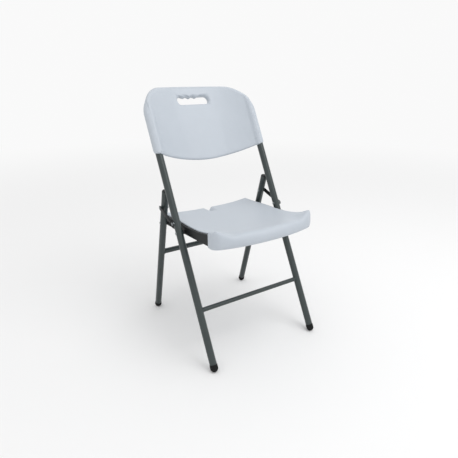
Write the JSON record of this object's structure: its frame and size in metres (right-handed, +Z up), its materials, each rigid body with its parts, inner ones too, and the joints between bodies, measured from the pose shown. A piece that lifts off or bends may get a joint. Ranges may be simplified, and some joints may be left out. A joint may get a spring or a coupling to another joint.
{
  "type": "folding chair",
  "caption": "Folding chair with a tubular steel frame, a dished white plastic seat that folds up, and a curved white plastic back with a hand hole.",
  "frame": {"origin": "on the floor, at the centre of the chair's footprint box", "axes": "+Z up, the sitter faces -Y, +X to the left hand of the sitter; the left nodes are on -X"},
  "size_m": [0.4694, 0.5787, 0.88],
  "materials": {
    "white_plastic": "fine-grained blow-moulded polyethylene, white",
    "frame_steel": "grey powder coat, satin",
    "dark_steel": "dark grey powder coat, satin",
    "rivet_steel": "zinc-plated steel",
    "foot_rubber": "moulded black rubber",
    "black_plastic": "moulded black plastic"
  },
  "bodies": {
    "front_frame": {"front_tube_left": "frame_steel", "front_tube_right": "frame_steel", "front_crossbar": "frame_steel", "front_foot_left": "foot_rubber", "front_foot_right": "foot_rubber", "back_panel": "white_plastic", "back_screws": "rivet_steel", "link_front_rivets": "rivet_steel", "link_front_washers": "rivet_steel", "seat_front_rivets": "rivet_steel", "seat_front_spacers": "black_plastic"},
    "seat": {"seat_shell": "white_plastic", "seat_rail_left": "dark_steel", "seat_rail_right": "dark_steel", "seat_brace_front": "dark_steel", "seat_brace_rear": "dark_steel", "seat_screws": "rivet_steel"},
    "link_bars": {"link_bar_left": "dark_steel", "link_bar_right": "dark_steel"},
    "rear_frame": {"rear_leg_left": "frame_steel", "rear_leg_right": "frame_steel", "rear_crossbar": "frame_steel", "rear_foot_left": "foot_rubber", "rear_foot_right": "foot_rubber", "leg_plug_left": "black_plastic", "leg_plug_right": "black_plastic", "link_rear_rivets": "rivet_steel", "link_rear_washers": "rivet_steel", "seat_rear_rivets": "rivet_steel", "seat_rear_spacers": "black_plastic"}
  },
  "joints": [
    {"name": "seat_fold", "type": "hinge", "parent": "front_frame", "child": "seat", "pos_m": [0, -0.04908, 0.42134], "axis": [-1, 0, 0], "range_deg": [0, 104.7]},
    {"name": "link_swing", "type": "hinge", "parent": "front_frame", "child": "link_bars", "pos_m": [0, -0.03232, 0.452], "axis": [-1, 0, 0], "range_deg": [0, 119.3]},
    {"name": "rear_leg_swing", "type": "hinge", "parent": "link_bars", "child": "rear_frame", "pos_m": [0, 0.06871, 0.481], "axis": [-1, 0, 0], "range_deg": [-74.6, 0]}
  ],
  "couplings": [
    {"joint": "link_swing", "follows": "seat_fold", "ratio": 1.1379},
    {"joint": "rear_leg_swing", "follows": "seat_fold", "ratio": -0.71165}
  ]
}
